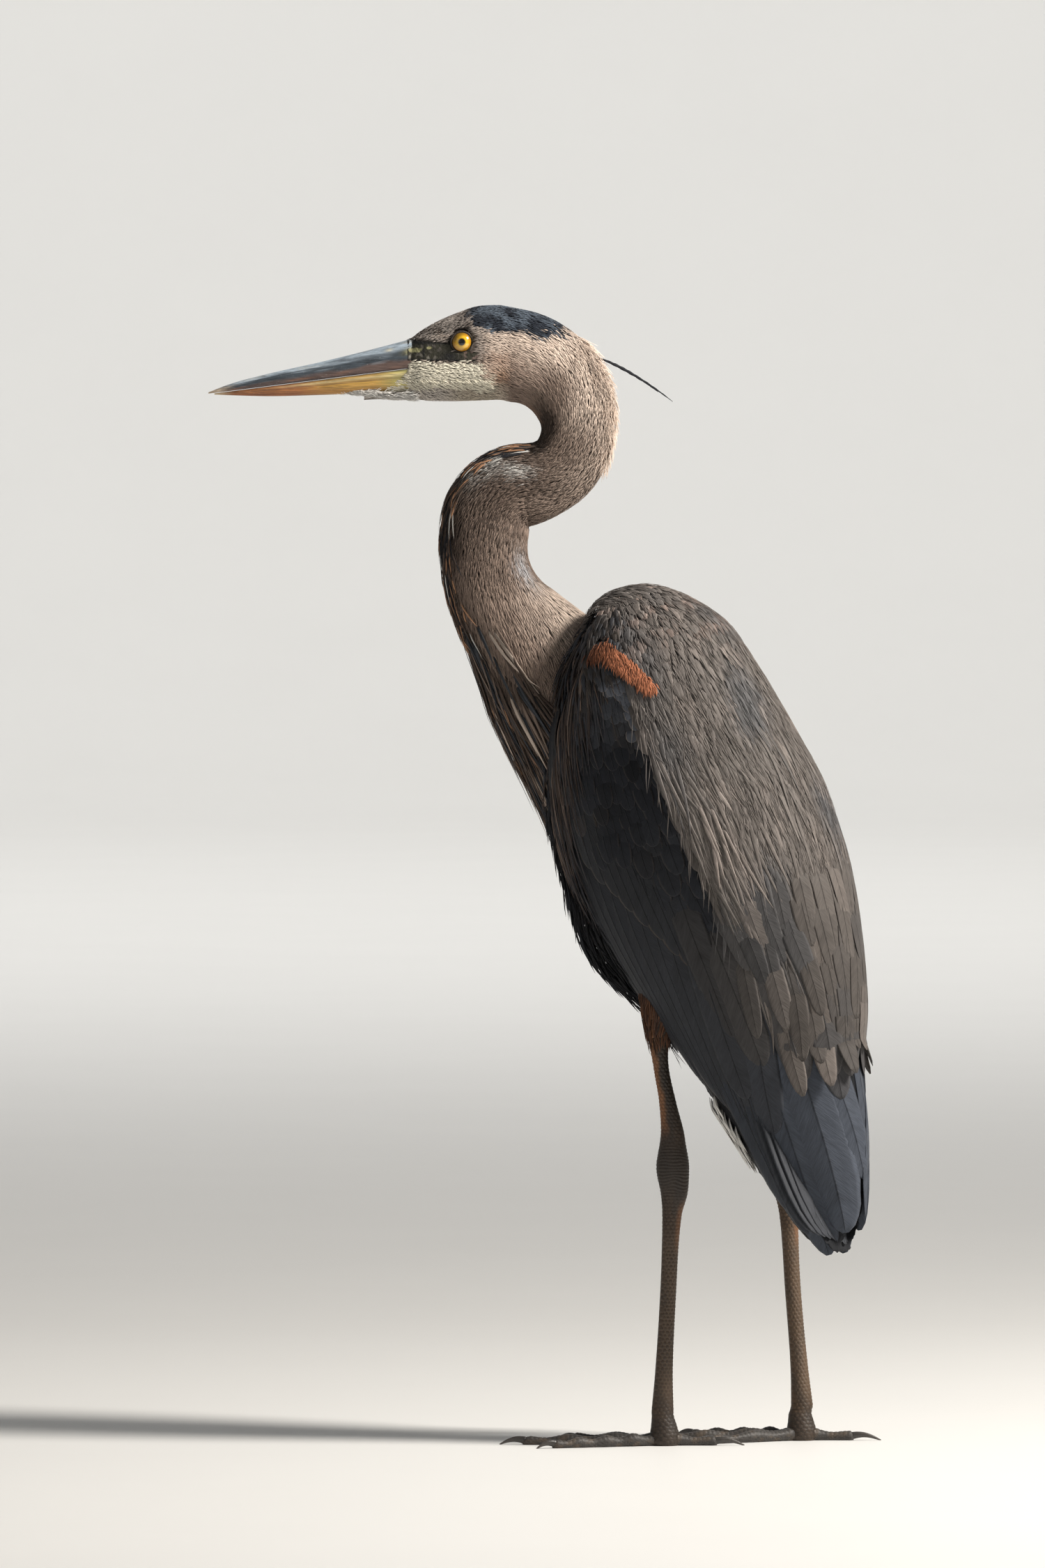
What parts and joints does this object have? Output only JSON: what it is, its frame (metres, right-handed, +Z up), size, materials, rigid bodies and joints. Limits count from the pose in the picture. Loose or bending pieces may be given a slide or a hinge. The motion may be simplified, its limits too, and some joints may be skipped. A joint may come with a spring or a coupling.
{
  "type": "great blue heron",
  "caption": "Life-size great blue heron standing still on both feet, neck in an S, long dagger bill level, folded wings and a thin black head plume.",
  "frame": {"origin": "on the floor, under the middle of the bird's bounding box", "axes": "+Z up; the head and bill point along -X; the bird's left side is on the -Y side, and its body is turned so that its chest faces -X and a little +Y"},
  "size_m": [0.4652, 0.1846, 0.7835],
  "materials": {
    "plumage_grey": "soft grey feathers with paler edges, matt with a faint sheen",
    "plumage_fawn": "soft pinkish grey-brown feathers with rufous tones, matt",
    "plumage_slate": "blackish slate feathers, matt with a blue-grey sheen",
    "plumage_white": "white feathers, matt",
    "face": "short fine feathers, whitish cheek, slate crown and yellowish lores",
    "bill_slate": "slate horn with pale streaks, worn satin",
    "bill_ochre": "ochre-yellow horn with an orange base, worn satin",
    "iris": "amber-yellow eye with a black pupil, wet gloss",
    "leg": "scaly dark brown skin with orange-brown tones, satin",
    "claw": "dark horn, satin"
  },
  "bodies": {
    "root": {"bill_lower": "bill_ochre", "bill_upper": "bill_slate", "breast": "plumage_fawn", "cape": "plumage_grey", "chin": "plumage_white", "crest_plume_left": "plumage_slate", "crest_plume_right": "plumage_slate", "eye_left": "iris", "eye_right": "iris", "foot_left_claw_hind": "claw", "foot_left_claw_inner": "claw", "foot_left_claw_middle": "claw", "foot_left_claw_outer": "claw", "foot_left_hub": "leg", "foot_left_toe_hind": "leg", "foot_left_toe_inner": "leg", "foot_left_toe_middle": "leg", "foot_left_toe_outer": "leg", "foot_right_claw_hind": "claw", "foot_right_claw_inner": "claw", "foot_right_claw_middle": "claw", "foot_right_claw_outer": "claw", "foot_right_hub": "leg", "foot_right_toe_hind": "leg", "foot_right_toe_inner": "leg", "foot_right_toe_middle": "leg", "foot_right_toe_outer": "leg", "head": "face", "leg_left_heel": "leg", "leg_left_shank": "leg", "leg_left_tarsus": "leg", "leg_left_thigh": "plumage_slate", "leg_right_heel": "leg", "leg_right_shank": "leg", "leg_right_tarsus": "leg", "leg_right_thigh": "plumage_slate", "neck_base": "plumage_fawn", "neck_bend": "plumage_fawn", "neck_lower": "plumage_fawn", "neck_nape": "plumage_fawn", "neck_upper": "plumage_fawn", "tail": "plumage_grey", "trunk": "plumage_slate", "vent": "plumage_white", "wing_left_coverts": "plumage_grey", "wing_left_secondaries": "plumage_grey", "wing_left_shoulder": "plumage_grey", "wing_left_tip": "plumage_grey", "wing_right_coverts": "plumage_grey", "wing_right_secondaries": "plumage_grey", "wing_right_shoulder": "plumage_grey", "wing_right_tip": "plumage_grey"}
  },
  "joints": []
}
